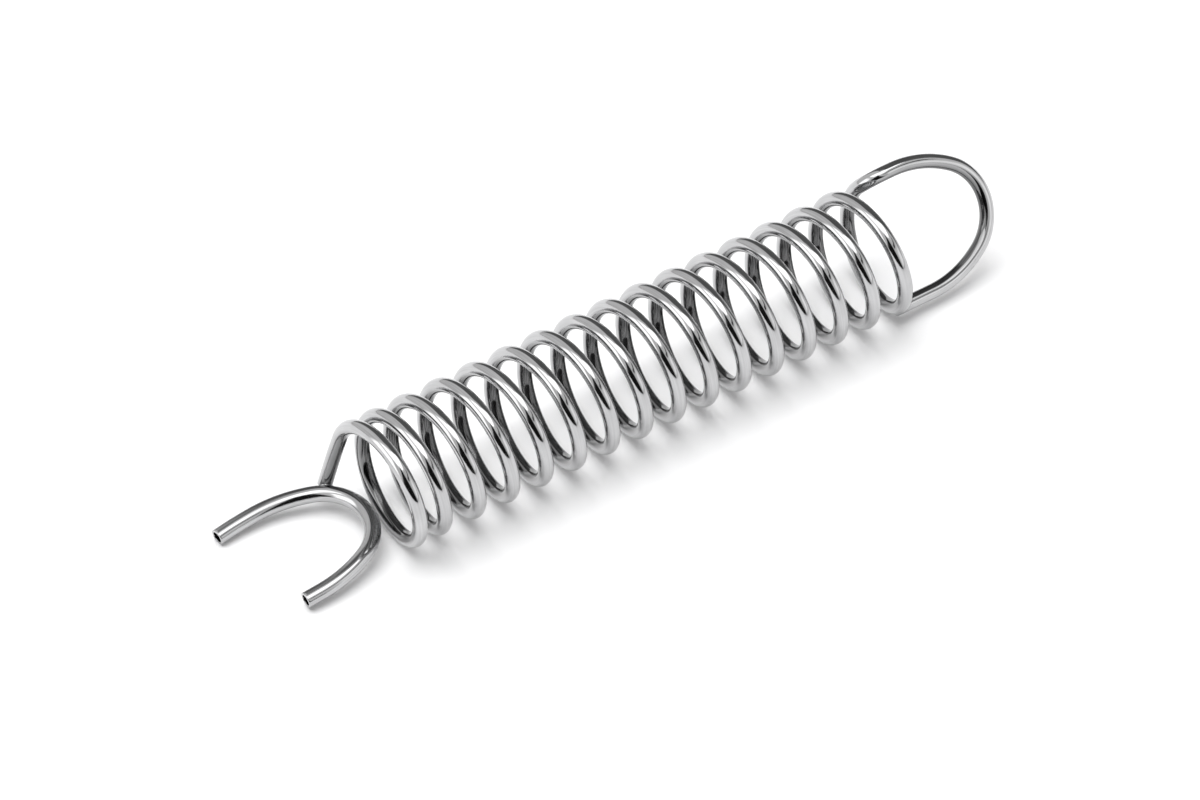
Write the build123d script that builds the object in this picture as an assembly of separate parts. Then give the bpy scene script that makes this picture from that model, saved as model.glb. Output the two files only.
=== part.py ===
from build123d import *
from math import cos, hypot, pi, radians, sin, tan
import os

# An extension spring lying on its side. Millimetres, +X along the coil towards the eye, +Z up.
# Every point is worked out with the coil's axis at y = 0 and the first turn's far side at x = 0.
# At the end the whole spring is moved so that the origin is the middle of its footprint.

# coil
wire_d = 2.0            # spring wire
coil_od = 18.5          # over the wire
first_pitch = 3.65      # the first turn and a half is wound closer
first_turns = 1.5
coil_pitch = 5.13
open_whole_turns = 14   # whole turns at the full pitch
# eye, a loop bent from the same wire
eye_tilt = 55.0         # angle of its plane above the floor
eye_lead = 19.0         # the wire leaves the coil this far before the eye's plane
eye_arm = 0.8           # straight wire between the lead-out and the loop
eye_side_radius = 15.2
eye_half_angle = 55.0   # half the angle of the tight end arc
eye_tip_gap = 0.25      # between the wire's cut end and the last turn
# fork, a bent tube with both ends open
tube_od = 2.2
tube_bore = 1.5
fork_half_width = 8.1   # axis to each arm's centreline
fork_offset = 2.65      # the fork's own axis, towards the far side
fork_gap = 0.44         # between the bend and the first turn, where that passes the floor
fork_side_radius = 18.4
fork_half_angle = 65.0
fork_near_arm = 2.2     # straight tube after the bend
fork_far_arm = 5.6
fork_far_radius = 50.0  # the far arm closes in slightly on this radius
fork_tilt = 6.0         # the bend stands higher than the tips
# stem, the wire's run from the coil down to the fork
stem_rise = 17.0        # it leaves the coil this many degrees above the far side
stem_angle = 51.5       # where it lands on the fork's end arc, from the apex
stem_lap = 1.6          # its centre lies this far outside the tube's, so it is joined to the tube's side

wire_r = wire_d / 2
coil_r = (coil_od - wire_d) / 2
axis_z = coil_od / 2
tube_r = tube_od / 2


def bend_radius(half_width, side_radius, half_angle):
    """Radius of the end arc that brings two side arcs to the wanted half width."""
    share = sin(radians(half_angle))
    return (half_width - side_radius * (1 - share)) / share


def bend_points(half_width, side_radius, half_angle):
    """Joints of a U bend as (distance back from the apex, offset), from one arm to the apex."""
    end_radius = bend_radius(half_width, side_radius, half_angle)
    rise, run = sin(radians(half_angle)), cos(radians(half_angle))
    shoulder = (end_radius * (1 - run), end_radius * rise)
    root = (shoulder[0] + side_radius * run, half_width)
    return root, shoulder


def on_coil(angle, x):
    """Point of the wire's centreline at an angle from the far side, turning upwards."""
    turn = radians(angle)
    return Vector(x, coil_r * cos(turn), axis_z + coil_r * sin(turn))


def along_coil(angle, pitch):
    """Direction of the wire at that angle, towards the eye."""
    turn = radians(angle)
    return Vector(pitch / (2 * pi), -coil_r * sin(turn), coil_r * cos(turn)).normalized()


def coil_run(x, angle, pitch, turns):
    seat = Plane(origin=(x, 0, axis_z), x_dir=on_coil(angle, 0) - Vector(0, 0, axis_z), z_dir=(1, 0, 0))
    return seat.location * Helix(pitch=pitch, height=pitch * turns, radius=coil_r)


def swept(path, radius):
    start = Plane(origin=path @ 0, z_dir=path % 0)
    return sweep(start * Circle(radius), path=path)


# the eye's plane holds the coil's axis; its arms lie where the coil's tangent crosses them
first_length = first_pitch * first_turns
coil_end_angle = eye_tilt - eye_lead
open_turns = open_whole_turns + (coil_end_angle + 180) / 360
coil_end_x = first_length + coil_pitch * open_turns
eye_half_width = coil_r / cos(radians(eye_lead))
lead_length = coil_r * tan(radians(eye_lead))


def on_eye(x, offset):
    tilt = radians(eye_tilt)
    return Vector(x, offset * cos(tilt), axis_z + offset * sin(tilt))


def eye_path():
    """Lead-out arc, straight arm, three-arc loop and the arm that comes back to the last turn."""
    coil_end = on_coil(coil_end_angle, coil_end_x)
    heading = along_coil(coil_end_angle, coil_pitch)
    rise = coil_pitch / (2 * pi * coil_r) * lead_length
    corner_x = coil_end_x + rise
    lead_x = corner_x + hypot(lead_length, rise)
    root, shoulder = bend_points(eye_half_width, eye_side_radius, eye_half_angle)
    loop_x = lead_x + eye_arm
    apex_x = loop_x + root[0]
    shoulder_x = apex_x - shoulder[0]
    turns_back = (360 * (first_turns + open_turns) - (eye_tilt + 180)) / 360
    last_x = first_length + coil_pitch * (turns_back - first_turns)
    tip_x = last_x + wire_r + eye_tip_gap
    lead = TangentArc(coil_end, on_eye(lead_x, eye_half_width), tangent=heading)
    arm = Line(lead @ 1, on_eye(loop_x, eye_half_width))
    upper = TangentArc(arm @ 1, on_eye(shoulder_x, shoulder[1]), tangent=arm % 1)
    end = TangentArc(upper @ 1, on_eye(shoulder_x, -shoulder[1]), tangent=upper % 1)
    lower = TangentArc(end @ 1, on_eye(loop_x, -eye_half_width), tangent=end % 1)
    back = Line(lower @ 1, on_eye(tip_x, -eye_half_width))
    return [lead, arm, upper, end, lower, back]


# the fork's own plane: x from the apex towards the coil, y across, turned and seated on the floor
def fork_joints():
    root, shoulder = bend_points(fork_half_width, fork_side_radius, fork_half_angle)
    closing = fork_far_arm / fork_far_radius
    far_tip = (-root[0] - fork_far_radius * sin(closing), root[1] - fork_far_radius * (1 - cos(closing)))
    near_tip = (-root[0] - fork_near_arm, -root[1])
    return root, shoulder, far_tip, near_tip


def fork_seat():
    """The bend stops short of the first turn where that passes the floor; the far tip is on the floor."""
    root, shoulder, far_tip, near_tip = fork_joints()
    apex_x = first_pitch * 0.75 - wire_r - tube_r - fork_gap
    apex_z = tube_r / cos(radians(fork_tilt)) - far_tip[0] * sin(radians(fork_tilt))
    return Location((apex_x, fork_offset, apex_z), (0, -fork_tilt, 0))


def fork_path():
    root, shoulder, far_tip, near_tip = fork_joints()
    far = TangentArc((-root[0], root[1]), far_tip, tangent=(-1, 0))
    upper = TangentArc((-root[0], root[1]), (-shoulder[0], shoulder[1]), tangent=(1, 0))
    end = TangentArc(upper @ 1, (-shoulder[0], -shoulder[1]), tangent=upper % 1)
    lower = TangentArc(end @ 1, (-root[0], -root[1]), tangent=end % 1)
    near = Line(lower @ 1, near_tip)
    return fork_seat() * Wire([far, upper, end, lower, near])


def stem_foot():
    end_radius = bend_radius(fork_half_width, fork_side_radius, fork_half_angle)
    reach = end_radius + stem_lap
    turn = radians(stem_angle)
    return (fork_seat() * Location((reach * cos(turn) - end_radius, reach * sin(turn), 0))).position


fork_line = fork_path()
fork_rod = swept(fork_line, tube_r)
fork = fork_rod - swept(fork_line, tube_bore / 2)

stem_turns = stem_rise / 360
stem_x = first_pitch * stem_turns
stem = TangentArc(on_coil(stem_rise, stem_x), stem_foot(), tangent=-along_coil(stem_rise, first_pitch))
first_run = coil_run(stem_x, stem_rise, first_pitch, first_turns - stem_turns)
open_run = coil_run(first_length, 360 * first_turns, coil_pitch, open_turns)
runs = [stem, first_run, open_run] + eye_path()
spring = swept(Wire(runs), wire_r) - fork_rod

parts = {"coil_with_eye": spring, "fork_hook": fork}
whole = spring.bounding_box().add(fork.bounding_box())
middle = Location((-whole.center().X, -whole.center().Y, -whole.min.Z))
os.makedirs("parts", exist_ok=True)
for name, shape in parts.items():
    export_step(middle * shape, f"parts/{name}.step")
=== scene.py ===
import bpy
import numpy as np
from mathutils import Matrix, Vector


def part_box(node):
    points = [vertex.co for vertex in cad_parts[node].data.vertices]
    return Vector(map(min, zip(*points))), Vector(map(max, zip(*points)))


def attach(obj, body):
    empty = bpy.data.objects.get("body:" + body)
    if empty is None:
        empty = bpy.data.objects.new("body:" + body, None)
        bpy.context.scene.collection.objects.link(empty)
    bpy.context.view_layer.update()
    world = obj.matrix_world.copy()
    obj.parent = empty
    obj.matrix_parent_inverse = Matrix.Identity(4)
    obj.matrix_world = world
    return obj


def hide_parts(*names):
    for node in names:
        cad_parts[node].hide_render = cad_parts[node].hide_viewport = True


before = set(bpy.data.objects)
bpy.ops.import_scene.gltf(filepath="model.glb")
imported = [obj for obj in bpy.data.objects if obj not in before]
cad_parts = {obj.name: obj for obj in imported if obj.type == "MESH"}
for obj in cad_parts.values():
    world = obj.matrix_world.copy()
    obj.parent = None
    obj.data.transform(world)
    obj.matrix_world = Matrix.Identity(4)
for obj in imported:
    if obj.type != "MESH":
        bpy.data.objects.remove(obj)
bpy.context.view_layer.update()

scene = bpy.context.scene
deg = np.radians


def unit(v):
    return v / np.linalg.norm(v, axis=-1, keepdims=True)


def arcRun(start, heading, end, count):
    # circle through start and end that leaves start along heading: the chord turns half as far as the arc
    start, end, heading = np.array(start, float), np.array(end, float), unit(np.array(heading, float))
    chord = end - start
    half = np.arccos(np.clip(unit(chord) @ heading, -1, 1))
    radius = np.linalg.norm(chord) / (2 * np.sin(half))
    side = unit(chord - (chord @ heading) * heading)
    a = np.linspace(0, 2 * half, count)[:, None]
    points = start + radius * (np.sin(a) * heading + (1 - np.cos(a)) * side)
    return points, np.cos(a) * heading + np.sin(a) * side


def lineRun(start, end, count):
    t = np.linspace(0, 1, count)[:, None]
    start, end = np.array(start, float), np.array(end, float)
    return start + t * (end - start), np.repeat(unit(end - start)[None], count, axis=0)


def joinRuns(runs):
    # every run starts where the last one ended, so its first point is dropped
    parts = [runs[0]] + [tuple(a[1:] for a in run) for run in runs[1:]]
    return tuple(np.concatenate(group) for group in zip(*parts))


def lengthAlong(points):
    return np.concatenate([[0], np.cumsum(np.linalg.norm(np.diff(points, axis=0), axis=1))])


def addMesh(name, points, faces, wireSpace=None):
    mesh = bpy.data.meshes.new(name)
    mesh.from_pydata(points.reshape(-1, 3).tolist(), [], faces)
    mesh.polygons.foreach_set("use_smooth", np.ones(len(faces), bool))
    if wireSpace is not None:
        # place of the surface point across the wire's own section, and its distance along the wire
        layer = mesh.attributes.new("wireSpace", "FLOAT_VECTOR", "POINT")
        layer.data.foreach_set("vector", wireSpace.reshape(-1, 3).astype(np.float32).ravel())
    mesh.update()
    piece = bpy.data.objects.new(name, mesh)
    scene.collection.objects.link(piece)
    return piece


def gridFaces(rows, cols, closeRows=False):
    # quads of a (rows, cols) grid that is always closed round its columns
    r = np.arange(rows if closeRows else rows - 1)[:, None]
    c = np.arange(cols)[None]
    r2, c2 = (r + 1) % rows, (c + 1) % cols
    return np.stack([r * cols + c, r * cols + c2, r2 * cols + c2, r2 * cols + c], -1).reshape(-1, 4).tolist()


def sectionFrame(tangents, guide):
    # first axis: the guide direction with its part along the wire taken out; second: square to both
    first = unit(guide - np.sum(guide * tangents, -1, keepdims=True) * tangents)
    return first, np.cross(tangents, first)


spring = dict(wireD=2.0e-3, coilOd=18.5e-3, firstPitch=3.65e-3, firstTurns=1.5, pitch=5.13e-3, openTurns=14.6,
              eyeTilt=55.0, eyeArm=0.8e-3, eyeSideRadius=15.2e-3, eyeHalfAngle=55.0, tipGap=0.25e-3,
              stemRise=17.0, stemAngle=51.5, stemLap=1.6e-3)
springMesh = dict(ringsPerTurn=110, around=40, stemRings=60, leadRings=40, armRings=6, sideRings=50,
                  endRings=110, backRings=24, edge=0.12e-3, edgeRings=5, capShare=(0.75, 0.4, 0.02),
                  footRings=90, footSlack=2e-5)
fork = dict(tubeOd=2.2e-3, bore=1.5e-3, halfWidth=8.1e-3, offset=2.65e-3, gap=0.44e-3, sideRadius=18.4e-3,
            halfAngle=65.0, nearArm=2.2e-3, farArm=5.6e-3, farRadius=50.0e-3, tilt=6.0, hookTurn=0.75)
forkMesh = dict(around=56, farRings=40, sideRings=60, endRings=150, nearRings=14, edge=0.09e-3, edgeRings=6)

wireR = spring["wireD"] / 2
coilR = (spring["coilOd"] - spring["wireD"]) / 2
tubeR = fork["tubeOd"] / 2


def bendJoints(halfWidth, sideRadius, halfAngle):
    # a U bend is side arc, end arc, side arc: distances back from the apex and offsets of its joints
    share = np.sin(deg(halfAngle))
    endRadius = (halfWidth - sideRadius * (1 - share)) / share
    shoulder = np.array([endRadius * (1 - np.cos(deg(halfAngle))), endRadius * share])
    root = np.array([shoulder[0] + sideRadius * np.cos(deg(halfAngle)), halfWidth])
    return root, shoulder, endRadius


def coilPoint(angle, x):
    return np.stack([x + 0 * angle, coilR * np.cos(angle), coilR * np.sin(angle)], -1)


def coilHeading(angle, pitch):
    rise = pitch / (2 * np.pi) + 0 * angle
    return unit(np.stack([rise, -coilR * np.sin(angle), coilR * np.cos(angle)], -1))


def coilTurns(x, startTurn, turns, pitch):
    # helix: the angle grows evenly with the distance along the axis
    count = int(turns * springMesh["ringsPerTurn"]) + 1
    turn = np.linspace(0, turns, count)
    angle = 2 * np.pi * (startTurn + turn)
    return coilPoint(angle, x + pitch * turn), coilHeading(angle, pitch)


def eyePoint(x, offset):
    return np.array([x, offset * np.cos(deg(spring["eyeTilt"])), offset * np.sin(deg(spring["eyeTilt"]))])


stemTurns = spring["stemRise"] / 360
stemX = spring["firstPitch"] * stemTurns
firstLength = spring["firstPitch"] * spring["firstTurns"]
coilEndX = firstLength + spring["pitch"] * spring["openTurns"]
allTurns = spring["firstTurns"] + spring["openTurns"]
coilEndAngle = 2 * np.pi * (allTurns % 1)
# the last turn stops short of the eye's plane: its tangent meets that plane a little outside the coil, and
# the lead-out arc has equal tangents before and after that meeting point
leadAngle = deg(spring["eyeTilt"]) - coilEndAngle
eyeHalfWidth = coilR / np.cos(leadAngle)
leadLength = coilR * np.tan(leadAngle)
leadRise = spring["pitch"] / (2 * np.pi * coilR) * leadLength
leadX = coilEndX + leadRise + np.hypot(leadLength, leadRise)
eyeRoot, eyeShoulder = bendJoints(eyeHalfWidth, spring["eyeSideRadius"], spring["eyeHalfAngle"])[:2]
loopX = leadX + spring["eyeArm"]
apexX = loopX + eyeRoot[0]

# the CAD box places the wire: its eye touches the far end, and its coil the near side and the floor
low, high = (np.array(corner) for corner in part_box("coil_with_eye"))
origin = np.array([high[0] - apexX - wireR, low[1] + spring["coilOd"] / 2, low[2] + spring["coilOd"] / 2])


def forkFrame():
    # the fork's joints and tips, and the apex of its tilted plane beside the lowest part of the first turn
    root, shoulder, endRadius = bendJoints(fork["halfWidth"], fork["sideRadius"], fork["halfAngle"])
    closing = fork["farArm"] / fork["farRadius"]
    farTipBack = root[0] + fork["farRadius"] * np.sin(closing)
    farTip = np.array([-farTipBack, root[1] - fork["farRadius"] * (1 - np.cos(closing))])
    nearTip = np.array([-root[0] - fork["nearArm"], -root[1]])
    tilt = deg(fork["tilt"])
    forkX = spring["firstPitch"] * fork["hookTurn"] - wireR - tubeR - fork["gap"]
    forkZ = tubeR / np.cos(tilt) - farTip[0] * np.sin(tilt) - spring["coilOd"] / 2
    apex = np.array([forkX, fork["offset"], forkZ])
    along = np.array([np.cos(tilt), 0, np.sin(tilt)])
    return root, shoulder, endRadius, farTip, nearTip, apex, along


forkRoot, forkShoulder, forkEndRadius, forkFarTip, forkNearTip, forkApex, forkAlong = forkFrame()


def onFork(point):
    # a point of the fork's tilted plane: how far past its apex, and how far across
    return forkApex + point[0] * forkAlong + np.array([0, point[1], 0])


def forkCentreline():
    # from the far tip round the bend to the near tip
    root, shoulder = forkRoot, forkShoulder
    sideRings = forkMesh["sideRings"]
    back = arcRun(onFork((-root[0], root[1])), -forkAlong, onFork(forkFarTip), forkMesh["farRings"])
    far = (back[0][::-1], -back[1][::-1])
    upper = arcRun(far[0][-1], far[1][-1], onFork((-shoulder[0], shoulder[1])), sideRings)
    end = arcRun(upper[0][-1], upper[1][-1], onFork((-shoulder[0], -shoulder[1])), forkMesh["endRings"])
    lower = arcRun(end[0][-1], end[1][-1], onFork((-root[0], -root[1])), sideRings)
    near = lineRun(lower[0][-1], onFork(forkNearTip), forkMesh["nearRings"])
    return joinRuns([far, upper, end, lower, near])


def stemRun(count):
    # an arc from the fork's bend up to the first turn, which it joins along the turn's own heading
    turn = deg(spring["stemAngle"])
    reach = forkEndRadius + spring["stemLap"]
    foot = onFork((reach * np.cos(turn) - forkEndRadius, reach * np.sin(turn)))
    rise = deg(spring["stemRise"])
    top = coilPoint(rise, stemX)
    points, heading = arcRun(top, -coilHeading(rise, spring["firstPitch"]), foot, count)
    return points[::-1], -heading[::-1]


def radialGuide(points):
    return unit(points * np.array([0, 1, 1]))


def loopGuide(headings):
    # in the eye's plane, a quarter turn to the outside of the heading
    across = eyePoint(0, 1.0)
    along = np.array([1.0, 0, 0])
    return headings @ along[:, None] * across - headings @ across[:, None] * along


def buildWire():
    # stem, close turns, open turns, lead-out arc, arm, three-arc loop and the arm back to the last turn
    closeTurns = coilTurns(stemX, stemTurns, spring["firstTurns"] - stemTurns, spring["firstPitch"])
    openTurns = coilTurns(firstLength, spring["firstTurns"], spring["openTurns"], spring["pitch"])
    coil = joinRuns([stemRun(springMesh["stemRings"]), closeTurns, openTurns])
    lead = arcRun(coil[0][-1], coil[1][-1], eyePoint(leadX, eyeHalfWidth), springMesh["leadRings"])
    arm = lineRun(lead[0][-1], eyePoint(loopX, eyeHalfWidth), springMesh["armRings"])
    turns = joinRuns([coil, lead, arm])
    shoulderX = apexX - eyeShoulder[0]
    sideRings = springMesh["sideRings"]
    upper = arcRun(arm[0][-1], arm[1][-1], eyePoint(shoulderX, eyeShoulder[1]), sideRings)
    end = arcRun(upper[0][-1], upper[1][-1], eyePoint(shoulderX, -eyeShoulder[1]), springMesh["endRings"])
    lower = arcRun(end[0][-1], end[1][-1], eyePoint(loopX, -eyeHalfWidth), sideRings)
    turnsBack = allTurns - (spring["eyeTilt"] + 180) / 360
    lastX = firstLength + spring["pitch"] * (turnsBack - spring["firstTurns"])
    tipX = lastX + wireR + spring["tipGap"]
    back = lineRun(lower[0][-1], eyePoint(tipX, -eyeHalfWidth), springMesh["backRings"])
    loop = joinRuns([upper, end, lower, back])
    points, headings = joinRuns([turns, loop])
    guide = np.concatenate([radialGuide(turns[0]), loopGuide(loop[1][1:])])
    first, second = sectionFrame(headings, guide)
    return points, headings, first, second


def tubeSurface(points, first, second, radius, around):
    # a ring of the section at each point of the path, and its radius may change from ring to ring
    a = np.linspace(0, 2 * np.pi, around, endpoint=False)
    ring = np.cos(a)[None, :, None] * first[:, None] + np.sin(a)[None, :, None] * second[:, None]
    return points[:, None] + np.reshape(radius, (-1, 1, 1)) * ring, a


def sectionSpace(length, radius, a):
    grid = np.zeros((len(length), len(a), 3))
    grid[..., 0] = np.reshape(radius, (-1, 1)) * np.cos(a)
    grid[..., 1] = np.reshape(radius, (-1, 1)) * np.sin(a)
    grid[..., 2] = length[:, None]
    return grid


def addSpringWire():
    # a circle of the wire's radius carried along the path: u along the wire, v round it
    points, headings, first, second = buildWire()
    # the cut end: rings that shrink to the middle round a small edge
    edge = springMesh["edge"]
    turn = np.linspace(0, np.pi / 2, springMesh["edgeRings"])[1:]
    flat = (wireR - edge) * np.array(springMesh["capShare"])
    shrink = np.concatenate([wireR - edge + edge * np.cos(turn), flat])
    back = np.concatenate([edge - edge * np.sin(turn), 0 * flat])
    capRings = len(shrink)
    capPoints = points[-1] - back[:, None] * headings[-1]
    keep = len(points) - int(np.ceil(edge / np.linalg.norm(points[-1] - points[-2]))) - 1
    points = np.concatenate([points[:keep], capPoints])
    first = np.concatenate([first[:keep], np.repeat(first[-1:], capRings, 0)])
    second = np.concatenate([second[:keep], np.repeat(second[-1:], capRings, 0)])
    radius = np.concatenate([np.full(keep, wireR), shrink])
    grid, a = tubeSurface(points, first, second, radius, springMesh["around"])
    # the foot: each line of the first rings stops on the fork's tube
    footRings = springMesh["footRings"]
    centre = forkCentreline()[0]
    near = np.linalg.norm(grid[:footRings, :, None] - centre[None, None], axis=-1).min(-1)
    landing = np.argmax(near > tubeR - springMesh["footSlack"], axis=0)
    rows = np.maximum(np.arange(footRings)[:, None], landing[None])
    grid[:footRings] = grid[rows, np.arange(len(a))[None]]
    along = lengthAlong(points)
    space = sectionSpace(along, radius, a)
    # both ends close on a middle point
    rings, count = len(grid), len(a)
    middle = rings * count
    c = np.arange(count)
    after = (c + 1) % count
    lastRing = (rings - 1) * count
    foot = np.stack([np.full(count, middle), after, c], -1).tolist()
    tip = np.stack([np.full(count, middle + 1), lastRing + c, lastRing + after], -1).tolist()
    allPoints = np.concatenate([grid.reshape(-1, 3), points[[0, -1]]])
    allSpace = np.concatenate([space.reshape(-1, 3), [[0, 0, 0], [0, 0, along[-1]]]])
    return addMesh("springWire", origin + allPoints, gridFaces(rings, count) + foot + tip, allSpace)


def addForkTube():
    # one closed surface: along the outside wall, round the near lip, back along the bore, round the far lip
    points, headings = forkCentreline()
    normal = np.cross(forkAlong, [0, 1, 0])
    first, second = sectionFrame(headings, np.repeat(normal[None], len(points), 0))
    edge, bore = forkMesh["edge"], fork["bore"] / 2
    a = np.linspace(0, np.pi / 2, forkMesh["edgeRings"])
    # the lip runs from the outside wall round two small edges into the bore
    lipRadius = np.concatenate([tubeR - edge + edge * np.cos(a), bore + edge - edge * np.sin(a)])
    lipBack = np.concatenate([edge - edge * np.sin(a), edge - edge * np.cos(a)])
    n = len(lipRadius)
    # the walls stop two rings short of the lips
    trim = slice(2, -2)
    wall = np.ones(len(points[trim]))
    nearLip = points[-1] - headings[-1] * lipBack[:, None]
    farLip = points[0] + headings[0] * lipBack[:, None]
    rings = [(points[trim], first[trim], second[trim], tubeR * wall),
             (nearLip, np.repeat(first[-1:], n, 0), np.repeat(second[-1:], n, 0), lipRadius),
             (points[trim][::-1], first[trim][::-1], second[trim][::-1], bore * wall),
             (farLip[::-1], np.repeat(first[:1], n, 0), np.repeat(second[:1], n, 0), lipRadius[::-1])]
    path, one, two, radius = (np.concatenate(group) for group in zip(*rings))
    grid, around = tubeSurface(path, one, two, radius, forkMesh["around"])
    space = sectionSpace(lengthAlong(path), radius, around)
    faces = gridFaces(len(path), len(around), closeRows=True)
    return addMesh("forkTube", origin + grid, faces, space)


def newMaterial(name):
    material = bpy.data.materials.new(name)
    material.use_nodes = True
    material.node_tree.nodes.clear()
    return material, material.node_tree.nodes, material.node_tree.links


noiseMiddle = (0.3, 0.7)
lineDetail, cloudDetail = 3, 4


def noiseTone(nodes, links, vector, scale, detail, span):
    # noise spread from its middle range to the wanted low and high
    noise = nodes.new("ShaderNodeTexNoise")
    noise.inputs["Scale"].default_value = scale
    noise.inputs["Detail"].default_value = detail
    links.new(vector, noise.inputs["Vector"])
    spread = nodes.new("ShaderNodeMapRange")
    spread.inputs["From Min"].default_value = noiseMiddle[0]
    spread.inputs["From Max"].default_value = noiseMiddle[1]
    spread.inputs["To Min"].default_value = span[0]
    spread.inputs["To Max"].default_value = span[1]
    links.new(noise.outputs["Fac"], spread.inputs["Value"])
    return spread.outputs["Result"], noise.outputs["Fac"]


def drawnSteel(name, look):
    # bright drawn wire: lines along the wire in tone, roughness and bump, a faint cloudy tone, and painted
    # shade on one side of the section
    material, nodes, links = newMaterial(name)
    out = nodes.new("ShaderNodeOutputMaterial")
    shader = nodes.new("ShaderNodeBsdfPrincipled")
    shader.inputs["Metallic"].default_value = 1.0
    space = nodes.new("ShaderNodeAttribute")
    space.attribute_name = "wireSpace"
    stretch = nodes.new("ShaderNodeMapping")
    stretch.inputs["Scale"].default_value = (1, 1, look["stretch"])
    links.new(space.outputs["Vector"], stretch.inputs["Vector"])
    stretched, plain = stretch.outputs["Vector"], space.outputs["Vector"]
    lineTone, lineHeight = noiseTone(nodes, links, stretched, look["lineScale"], lineDetail, look["lineTone"])
    cloudTone, cloudHeight = noiseTone(nodes, links, plain, look["cloudScale"], cloudDetail, look["cloudTone"])
    # painted shade: the base colour is darkened where the section's first axis points away, on the inside of
    # the coil's turns and the eye's bends and on the underside of the fork's tube
    split = nodes.new("ShaderNodeSeparateXYZ")
    links.new(space.outputs["Vector"], split.inputs["Vector"])
    paintedShadeNode = nodes.new("ShaderNodeMapRange")
    paintedShadeNode.interpolation_type = "SMOOTHSTEP"
    paintedShadeNode.inputs["From Min"].default_value = look["paintedShadeSpan"][0]
    paintedShadeNode.inputs["From Max"].default_value = look["paintedShadeSpan"][1]
    paintedShadeNode.inputs["To Min"].default_value = look["paintedShadeTone"]
    paintedShadeNode.inputs["To Max"].default_value = 1.0
    links.new(split.outputs["X"], paintedShadeNode.inputs["Value"])
    lined = nodes.new("ShaderNodeMath")
    lined.operation = "MULTIPLY"
    links.new(lineTone, lined.inputs[0])
    links.new(cloudTone, lined.inputs[1])
    # the painted shade multiplies into the lined and cloudy tone
    both = nodes.new("ShaderNodeMath")
    both.operation = "MULTIPLY"
    links.new(lined.outputs["Value"], both.inputs[0])
    links.new(paintedShadeNode.outputs["Result"], both.inputs[1])
    tint = nodes.new("ShaderNodeMix")
    tint.data_type = "RGBA"
    tint.inputs["A"].default_value = (0, 0, 0, 1)
    tint.inputs["B"].default_value = (*look["colour"], 1)
    links.new(both.outputs["Value"], tint.inputs["Factor"])
    links.new(tint.outputs["Result"], shader.inputs["Base Color"])
    rough = nodes.new("ShaderNodeMapRange")
    rough.inputs["To Min"].default_value = look["roughness"][0]
    rough.inputs["To Max"].default_value = look["roughness"][1]
    links.new(cloudHeight, rough.inputs["Value"])
    links.new(rough.outputs["Result"], shader.inputs["Roughness"])
    bump = nodes.new("ShaderNodeBump")
    bump.inputs["Strength"].default_value = look["bump"]
    bump.inputs["Distance"].default_value = look["lineDepth"]
    links.new(lineHeight, bump.inputs["Height"])
    links.new(bump.outputs["Normal"], shader.inputs["Normal"])
    links.new(shader.outputs["BSDF"], out.inputs["Surface"])
    return material


studio = dict(floorColour=(0.86, 0.86, 0.865), floorLift=0.14, floorSize=4.0, worldLight=0.26,
              keyPower=10.5, keySize=0.9, keyPlace=(-0.11, 0.16, 0.80), keyTarget=(0, 0, 0))


def seenStraight(nodes, links):
    # 1 for camera, glossy and transmission rays
    path = nodes.new("ShaderNodeLightPath")
    first = nodes.new("ShaderNodeMath")
    first.operation = "MAXIMUM"
    second = nodes.new("ShaderNodeMath")
    second.operation = "MAXIMUM"
    links.new(path.outputs["Is Camera Ray"], first.inputs[0])
    links.new(path.outputs["Is Glossy Ray"], first.inputs[1])
    links.new(first.outputs["Value"], second.inputs[0])
    links.new(path.outputs["Is Transmission Ray"], second.inputs[1])
    return second.outputs["Value"]


def paleFloor():
    # a pale matt floor, lifted to white where it is looked at
    material, nodes, links = newMaterial("paleFloor")
    out = nodes.new("ShaderNodeOutputMaterial")
    diffuse = nodes.new("ShaderNodeBsdfDiffuse")
    diffuse.inputs["Color"].default_value = (*studio["floorColour"], 1)
    glow = nodes.new("ShaderNodeEmission")
    lift = nodes.new("ShaderNodeMath")
    lift.operation = "MULTIPLY"
    lift.inputs[1].default_value = studio["floorLift"]
    both = nodes.new("ShaderNodeAddShader")
    links.new(seenStraight(nodes, links), lift.inputs[0])
    links.new(lift.outputs["Value"], glow.inputs["Strength"])
    links.new(diffuse.outputs["BSDF"], both.inputs[0])
    links.new(glow.outputs["Emission"], both.inputs[1])
    links.new(both.outputs["Shader"], out.inputs["Surface"])
    return material


def addFloor():
    half = studio["floorSize"] / 2
    points = np.array([[-half, -half, 0], [half, -half, 0], [half, half, 0], [-half, half, 0]])
    floor = addMesh("floor", points, [[0, 1, 2, 3]])
    floor.data.materials.append(paleFloor())


def setWorld():
    world = bpy.data.worlds.new("studioWorld")
    scene.world = world
    world.use_nodes = True
    nodes, links = world.node_tree.nodes, world.node_tree.links
    nodes.clear()
    out = nodes.new("ShaderNodeOutputWorld")
    light = nodes.new("ShaderNodeBackground")
    light.inputs["Strength"].default_value = studio["worldLight"]
    white = nodes.new("ShaderNodeBackground")
    white.inputs["Strength"].default_value = 1.0
    mix = nodes.new("ShaderNodeMixShader")
    links.new(seenStraight(nodes, links), mix.inputs["Fac"])
    links.new(light.outputs["Background"], mix.inputs[1])
    links.new(white.outputs["Background"], mix.inputs[2])
    links.new(mix.outputs["Shader"], out.inputs["Surface"])


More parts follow.
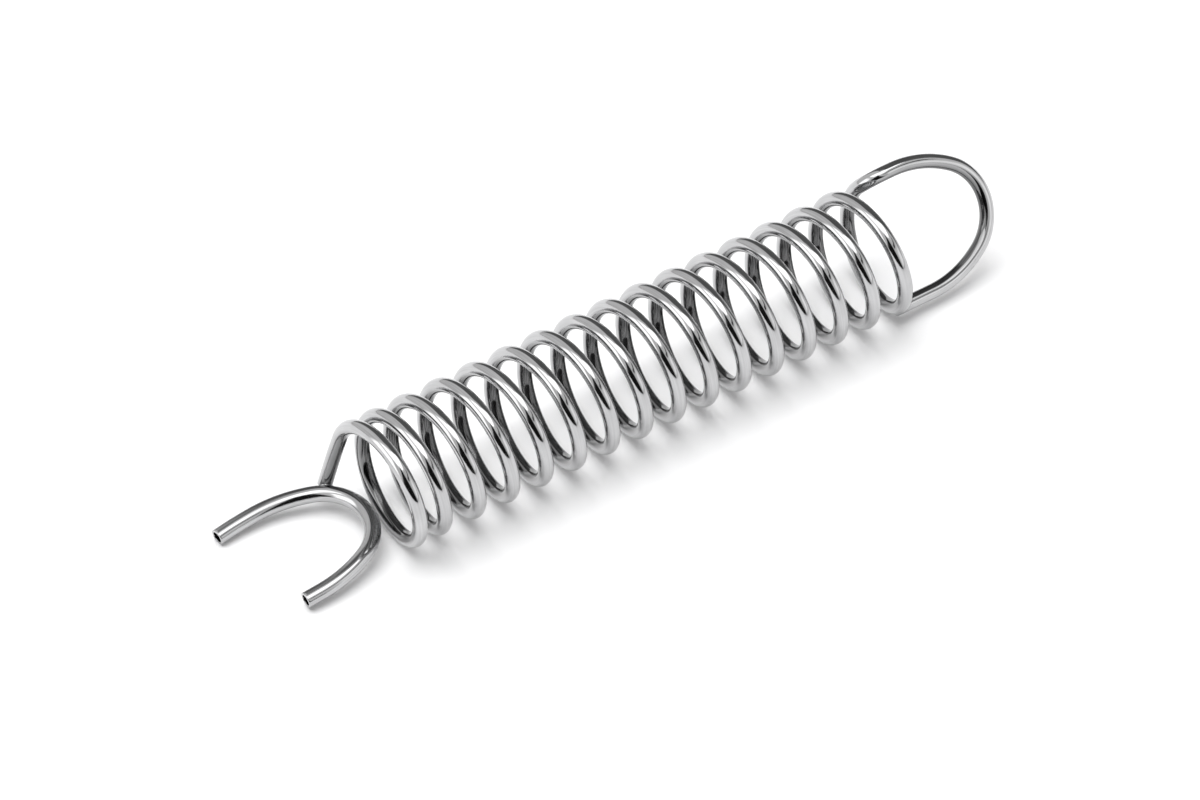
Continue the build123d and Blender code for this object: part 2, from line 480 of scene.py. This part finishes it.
# azimuth 0 is the near side and 90 the eye's end; wide is half the width, rise the span of elevation
cards = [
    dict(name="cameraSideCard", azimuth=-30, wide=46, rise=(0, 60), narrow=0.05,
         tone=0.01, fade=0.12, distance=0.58),
    dict(name="thinDarkCard", azimuth=32, wide=30, rise=(35, 42), narrow=1.0,
         tone=0.03, fade=0.2, distance=0.60),
    dict(name="rightDarkCard", azimuth=126, wide=52, rise=(0, 78), narrow=0.9,
         tone=0.14, fade=0.1, distance=0.62),
    dict(name="leftWhiteCard", azimuth=-98, wide=26, rise=(4, 50), narrow=1.0,
         tone=2.2, fade=0.3, distance=0.64),
    dict(name="rightWhiteCard", azimuth=40, wide=22, rise=(4, 34), narrow=1.0,
         tone=1.35, fade=0.35, distance=0.64),
    dict(name="upperWhiteCard", azimuth=-20, wide=110, rise=(54, 89), narrow=1.0,
         tone=2.4, fade=0.12, distance=0.66),
]
cardRows, cardCols = 41, 65


def addPanel(name, points, u, v, fade, tone):
    # a glowing sheet seen only in reflections, fading out towards its sides and its top
    rows, cols = u.shape
    r, c = np.meshgrid(np.arange(rows - 1), np.arange(cols - 1), indexing="ij")
    corner = r * cols + c
    faces = np.stack([corner, corner + 1, corner + cols + 1, corner + cols], -1).reshape(-1, 4)
    panel = addMesh(name, points, faces.tolist())
    strength = np.clip((1 - np.abs(u)) / fade, 0, 1) * np.clip((1 - v) / fade, 0, 1)
    layer = panel.data.attributes.new("cardFade", "FLOAT", "POINT")
    layer.data.foreach_set("value", strength.astype(np.float32).ravel())
    material, nodes, links = newMaterial(name)
    out = nodes.new("ShaderNodeOutputMaterial")
    glow = nodes.new("ShaderNodeEmission")
    glow.inputs["Strength"].default_value = tone
    clear = nodes.new("ShaderNodeBsdfTransparent")
    edge = nodes.new("ShaderNodeAttribute")
    edge.attribute_name = "cardFade"
    mix = nodes.new("ShaderNodeMixShader")
    links.new(edge.outputs["Fac"], mix.inputs["Fac"])
    links.new(clear.outputs["BSDF"], mix.inputs[1])
    links.new(glow.outputs["Emission"], mix.inputs[2])
    links.new(mix.outputs["Shader"], out.inputs["Surface"])
    panel.data.materials.append(material)
    panel.visible_camera = False
    panel.visible_diffuse = False
    panel.visible_shadow = False


def addCard(card):
    # part of a sphere round the spring: u runs across, v up from the horizon, and the sides close in with v
    v, u = np.meshgrid(np.linspace(0, 1, cardRows), np.linspace(-1, 1, cardCols), indexing="ij")
    low, high = card["rise"]
    side = deg(card["azimuth"]) + deg(card["wide"]) * u * (1 + (card["narrow"] - 1) * v)
    up = deg(low + (high - low) * v)
    ahead = np.stack([np.sin(side) * np.cos(up), -np.cos(side) * np.cos(up), np.sin(up)], -1)
    points = card["distance"] * ahead
    addPanel(card["name"], points, u, v, card["fade"], card["tone"])


def addSoftbox(name, place, target, size, power):
    lamp = bpy.data.lights.new(name, "AREA")
    lamp.shape = "SQUARE"
    lamp.size = size
    lamp.energy = power
    box = bpy.data.objects.new(name, lamp)
    box.location = place
    box.rotation_mode = "QUATERNION"
    box.rotation_quaternion = (Vector(target) - Vector(place)).to_track_quat("-Z", "Y")
    box.visible_glossy = False
    scene.collection.objects.link(box)


view = dict(lens=194.25, sensor=36, elevation=45.29, azimuth=33.98, distance=0.845, clip=(0.01, 20),
            aim=(37.80e-3, 4.505e-3))


def addCamera():
    # the camera looks along a ray that meets the floor near the middle of the spring
    e, a = deg(view["elevation"]), deg(view["azimuth"])
    ahead = Vector((np.sin(a) * np.cos(e), np.cos(a) * np.cos(e), -np.sin(e)))
    aim = Vector(tuple(origin + np.array([*view["aim"], -spring["coilOd"] / 2])))
    data = bpy.data.cameras.new("camera")
    data.lens = view["lens"]
    data.sensor_width = view["sensor"]
    data.clip_start = view["clip"][0]
    data.clip_end = view["clip"][1]
    camera = bpy.data.objects.new("camera", data)
    camera.location = aim - ahead * view["distance"]
    camera.rotation_mode = "QUATERNION"
    camera.rotation_quaternion = ahead.to_track_quat("-Z", "Y")
    scene.collection.objects.link(camera)
    scene.camera = camera


# the last two entries set where the painted shade on one side of the section starts and ends, and how dark it
# gets
wireLook = dict(colour=(0.57, 0.57, 0.575), roughness=(0.06, 0.14), lineDepth=2e-6, bump=0.3, stretch=0.02,
                lineScale=6000, lineTone=(0.84, 1.0), cloudScale=260, cloudTone=(0.88, 1.0),
                paintedShadeSpan=(-0.9e-3, 0.1e-3), paintedShadeTone=0.34)
tubeLook = dict(colour=(0.58, 0.58, 0.585), roughness=(0.08, 0.17), lineDepth=3e-6, bump=0.4, stretch=0.02,
                lineScale=5000, lineTone=(0.74, 1.0), cloudScale=240, cloudTone=(0.86, 1.0),
                paintedShadeSpan=(-1.2e-3, 0.0), paintedShadeTone=0.7)

wire = addSpringWire()
wire.data.materials.append(drawnSteel("springWireSteel", wireLook))
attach(wire, "root")
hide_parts("coil_with_eye")
print("spring wire", len(wire.data.polygons))

tube = addForkTube()
tube.data.materials.append(drawnSteel("forkTubeSteel", tubeLook))
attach(tube, "root")
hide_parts("fork_hook")
print("fork tube", len(tube.data.polygons))

addFloor()
setWorld()
for card in cards:
    addCard(card)
addSoftbox("keyBox", studio["keyPlace"], studio["keyTarget"], studio["keySize"], studio["keyPower"])
print("studio cards", len(cards))
addCamera()
scene.view_settings.view_transform = "Standard"
